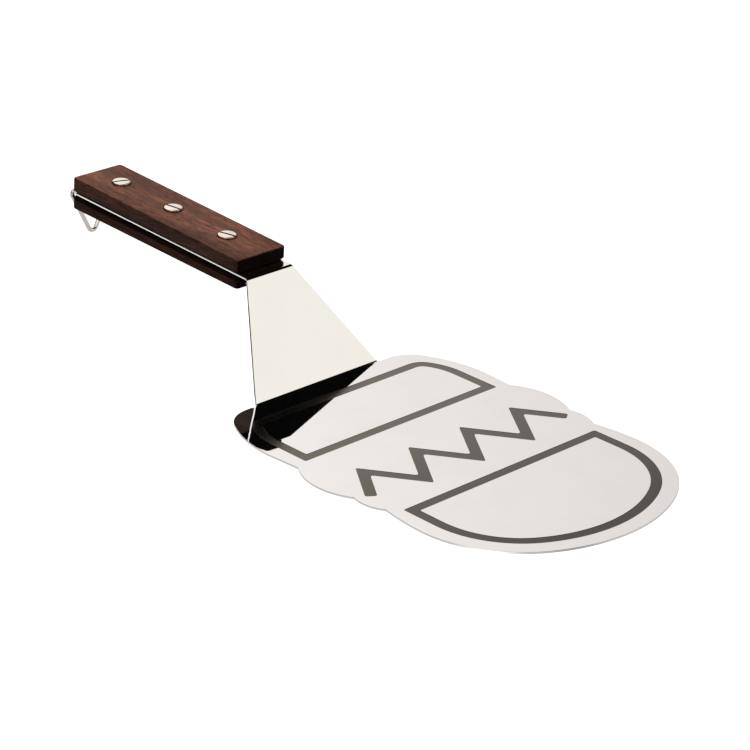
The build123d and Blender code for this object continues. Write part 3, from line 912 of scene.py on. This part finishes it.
# The wood of each scale; the lower one's colours are scaled down by its shade, a painted
# shade for the dimmer light on the lower scale
dark_band, light_band = (0.037, 0.0133, 0.0072), (0.084, 0.0312, 0.0173)
dark_fibre, light_fibre = (0.26, 0.22, 0.2, 1.0), (1.5, 1.43, 1.36, 1.0)
pore_brown, soak_and_shade_tint = (0.012, 0.006, 0.004, 1.0), (0.11, 0.15, 0.17, 1.0)
fibre_weight, pore_weight, oil_coat = 0.66, 0.75, 0.35
for name, placing, plank_shift, shade, seam_shift in (
        ("upper_scale", handle, 0.0, 1.0, 1.3), ("lower_scale", under_handle, 0.37, 0.7, 0.0)):
    wood, tree, shader = new_material(name + "_hardwood", Specular_IOR_Level=0.01,
                                      Coat_Roughness=0.45)
    where = add_node(tree, "TexCoord")
    layer = add_node(tree, "Group", node_tree=grain, Slope=handle_slope, Plank=plank_shift)
    out = placing.to_3x3() @ Vector((0.0, 0.0, 1.0))
    on_seam = (placing.translation + Vector((heel_bend_x, 0.0, 0.0))) * mm
    # The places darkened by soaked oil and by painted shade
    soaked_and_shaded = add_node(tree, "Group", node_tree=oil_and_shade, Out=out,
                      Inner_Face=on_seam.dot(out) - seam_shift * mm)
    # Less oil coat, so less sheen, in the soaked and painted-shade places
    oiled = add_node(tree, "MapRange", To_Min=oil_coat * shade, To_Max=0.0)
    banded = add_node(tree, "Mix", data_type="RGBA",
                      A=(*[c * shade for c in dark_band], 1.0),
                      B=(*[c * shade for c in light_band], 1.0))
    fibred = add_node(tree, "Mix", data_type="RGBA", blend_type="MULTIPLY",
                      Factor=fibre_weight)
    fibre_tone = add_node(tree, "ValToRGB")
    fibre_tone.color_ramp.elements[0].color = dark_fibre
    fibre_tone.color_ramp.elements[1].color = light_fibre
    pored = add_node(tree, "Mix", data_type="RGBA", B=pore_brown)
    # The soaked and painted-shade places are multiplied darker by this tint
    oil_and_shade_darkened = add_node(tree, "Mix", data_type="RGBA", blend_type="MULTIPLY", B=soak_and_shade_tint)
    pore_share = add_node(tree, "Math", operation="MULTIPLY")
    pore_share.inputs[1].default_value = pore_weight
    gloss = add_node(tree, "MapRange", To_Min=0.40, To_Max=0.58)
    height = add_node(tree, "Math", operation="MULTIPLY_ADD")
    height.inputs[1].default_value = -1.0
    relief = add_node(tree, "Bump", Strength=0.35, Distance=0.00006)
    join(tree,
         (where, "Object", layer, "Position"), (layer, "Band", banded, "Factor"),
         (layer, "Fibre", fibre_tone, "Fac"), (banded, "Result", fibred, "A"),
         (fibre_tone, "Color", fibred, "B"), (fibred, "Result", pored, "A"),
         (layer, "Pore", pore_share, 0), (pore_share, "Value", pored, "Factor"),
         (where, "Object", soaked_and_shaded, "Position"), (where, "Normal", soaked_and_shaded, "Normal"),
         (soaked_and_shaded, "Soaked And Shaded", oil_and_shade_darkened, "Factor"), (soaked_and_shaded, "Soaked And Shaded", oiled, "Value"),
         (oiled, "Result", shader, "Coat Weight"), (pored, "Result", oil_and_shade_darkened, "A"),
         (oil_and_shade_darkened, "Result", shader, "Base Color"), (layer, "Fibre", gloss, "Value"),
         (gloss, "Result", shader, "Roughness"), (layer, "Pore", height, 0),
         (layer, "Fibre", height, 2), (height, "Value", relief, "Height"),
         (relief, "Normal", shader, "Normal"))
    piece = build_scale(name, placing, wood)
    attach(piece, "turner")
    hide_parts(name)

# ----------------------------------------
# The binding screws above and the barrel nuts below: turned steel with bright plating and
# a low, nearly flat head with a round edge and a milled slot. Each pair clamps both scales
# to the tang.
head_radius, crown_radius = 3.9, 3.5
head_rim, head_height = 0.84, 1.2
crown_drop = 0.09
crown_rings, edge_steps, half_steps = [0.9, 1.6, 2.3, 2.9], 6, 24
slot_half_width, slot_depth = 0.55, 0.6
screw_slot_angles = (18.0, 12.0, 71.0)
nut_slot_angles = (40.0, 95.0, 150.0)
shank_radius, shank_length, shank_chamfer = 1.95, 7.5, 0.4
barrel_radius, barrel_length = 2.5, 11.0
bore_radius, bore_depth = 2.0, 8.5
weld_distance = 1e-7
slot_faces = 1


def crown_height(radius):
    """Height of the head's low crown and round edge at that distance from its middle."""
    if radius <= crown_radius:
        return head_height - crown_drop * (radius / crown_radius) ** 2
    share = (radius - crown_radius) / (head_radius - crown_radius)
    edge_height = head_height - crown_drop
    return head_rim + (edge_height - head_rim) * sqrt(max(0.0, 1.0 - share * share))


def build_fastener(name, placing, angle, lathe_rows):
    """A slotted head on its stem; the stem's rows are pairs of radius and height."""
    target = bmesh.new()
    spin = placing @ Matrix.Rotation(radians(angle), 4, "Z")

    def row(points):
        return add_points(target, [spin @ Vector(p) for p in points])

    def half_circle(radius, side):
        start = asin(slot_half_width / radius)
        angles = [start + (pi - 2 * start) * i / half_steps for i in range(half_steps + 1)]
        return [(radius * cos(a), side * radius * sin(a)) for a in angles]

    slot_height = head_height - slot_depth
    edge_width = head_radius - crown_radius
    radii = crown_rings + [crown_radius + edge_width * sin(pi / 2 * k / edge_steps)
                           for k in range(edge_steps + 1)]
    outline = half_circle(head_radius, 1) + half_circle(head_radius, -1)[::-1]
    waist = row([(x, y, slot_height) for x, y in outline])
    bottom = row([(x, y, 0.0) for x, y in outline])
    slot_rows = []
    for side, part in ((1, waist[:half_steps + 1]), (-1, waist[:half_steps:-1])):
        crown = [row([(x, y, crown_height(radius)) for x, y in half_circle(radius, side)])
                 for radius in radii]
        target.faces.new(crown[0]).smooth = True
        for first, second in zip(crown, crown[1:] + [part]):
            bridge(target, first, second, False)
        reaches = [sqrt(radius ** 2 - slot_half_width ** 2) for radius in radii]
        slot_edge = [ring[-1] for ring in crown[::-1]] + [ring[0] for ring in crown]
        slot_foot = row([(x, side * slot_half_width, slot_height)
                         for x in [-reach for reach in reaches[::-1]] + reaches])
        bridge(target, slot_edge, slot_foot, False, slot_faces)
        slot_rows.append(slot_foot)
    bridge(target, slot_rows[0], slot_rows[1], False, slot_faces)
    bridge(target, waist, bottom, True)
    last = bottom
    for radius, height in lathe_rows:
        ring = row([(x * radius / head_radius, y * radius / head_radius, height)
                    for x, y in outline])
        bridge(target, last, ring, True)
        last = ring
    target.faces.new(last).smooth = True
    bmesh.ops.remove_doubles(target, verts=target.verts, dist=weld_distance)
    return finished_piece(target, name, [plated, dark_slot_metal], sharp_angle=35.0)


plated = handled_metal(
    "bright_plating", size=2.5, clean=0.09, worn=0.22, bump=0.12,
    bright=(0.95, 0.87, 0.77, 1.0), dull=(0.85, 0.77, 0.67, 1.0))
# The slot's faces take a darker metal, so the slot reads darker than the head
dark_slot_metal = handled_metal(
    "dark_slot", size=4.0, clean=0.38, worn=0.6, bump=0.3,
    bright=(0.20, 0.165, 0.13, 1.0), dull=(0.11, 0.09, 0.07, 1.0))

screw_stem = [(shank_radius, 0.0), (shank_radius, -shank_length + shank_chamfer),
              (shank_radius - shank_chamfer, -shank_length)]
nut_stem = [(barrel_radius, 0.0), (barrel_radius, -barrel_length),
            (bore_radius, -barrel_length), (bore_radius, -barrel_length + bore_depth)]
for label, placing, node, angles, stem, scale in (
        ("binding_screw", handle, "binding_screws", screw_slot_angles, screw_stem, "upper_scale"),
        ("barrel_nut", under_handle, "barrel_nuts", nut_slot_angles, nut_stem, "lower_scale")):
    for spot, x, angle in zip(("front", "middle", "rear"), screw_places, angles):
        seat = scale_height(scale, x) - seat_depth
        seated = placing @ Matrix.Translation((x, 0.0, seat))
        piece = build_fastener(label + "_" + spot, seated, angle, stem)
        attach(piece, "turner")
        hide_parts(node)

# ----------------------------------------
# The hanging ring: one length of bright steel wire, bent to a triangle whose straight
# side lies in the tang's rolled eye, where its two ends meet.
wire_radius, wire_sides = 1.0, 24
ring_half_width, ring_drop = 12.0, 23.9
ring_top_radius, ring_tip_radius = 1.9, 2.2
ring_end_gap = 0.3


def wire_corner(corner, before, after, radius):
    """Points round one bend of the wire."""
    way_in, way_on = (corner - before).normalized(), (after - corner).normalized()
    turn = way_in.angle(way_on)
    start = corner - way_in * (radius * tan(turn / 2))
    side = 1.0 if way_in.x * way_on.y - way_in.y * way_on.x > 0 else -1.0
    centre = start + Vector((-way_in.y, way_in.x)) * radius * side
    first = atan2(start.y - centre.y, start.x - centre.x)
    return [start] + arc(centre, radius, first, turn * side, steps=16)


ring_corners = [Vector((ring_end_gap / 2, 0.0)), Vector((ring_half_width, 0.0)),
                Vector((0.0, -ring_drop)), Vector((-ring_half_width, 0.0)),
                Vector((-ring_end_gap / 2, 0.0))]
wire_line = [ring_corners[0]]
for i, radius in ((1, ring_top_radius), (2, ring_tip_radius), (3, ring_top_radius)):
    wire_line += wire_corner(ring_corners[i], ring_corners[i - 1], ring_corners[i + 1], radius)
wire_line.append(ring_corners[-1])
ring = bmesh.new()
wire_rings = []
for i, spot in enumerate(wire_line):
    before, after = wire_line[max(0, i - 1)], wire_line[min(len(wire_line) - 1, i + 1)]
    way = (after - before).normalized()
    side = Vector((-way.y, way.x))
    middle = eye_centre + Vector((0.0, spot.x, spot.y))
    angles = [2 * pi * k / wire_sides for k in range(wire_sides)]
    wire_rings.append(add_points(ring, [
        middle + Vector((cos(a), side.x * sin(a), side.y * sin(a))) * wire_radius
        for a in angles]))
skin(ring, wire_rings)

wire = handled_metal(
    "drawn_wire", size=2.0, clean=0.12, worn=0.26, bump=0.15,
    bright=(0.90, 0.865, 0.80, 1.0), dull=(0.79, 0.745, 0.67, 1.0))
# The wire is smooth all over but for its two cut ends
ring_piece = finished_piece(ring, "ring", [wire], sharp_angle=180.0)
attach(ring_piece, "ring")
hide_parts("hanging_ring")

# ----------------------------------------
# The dressed model's box: the bounds of every shown object but the floor and cards.
low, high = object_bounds()
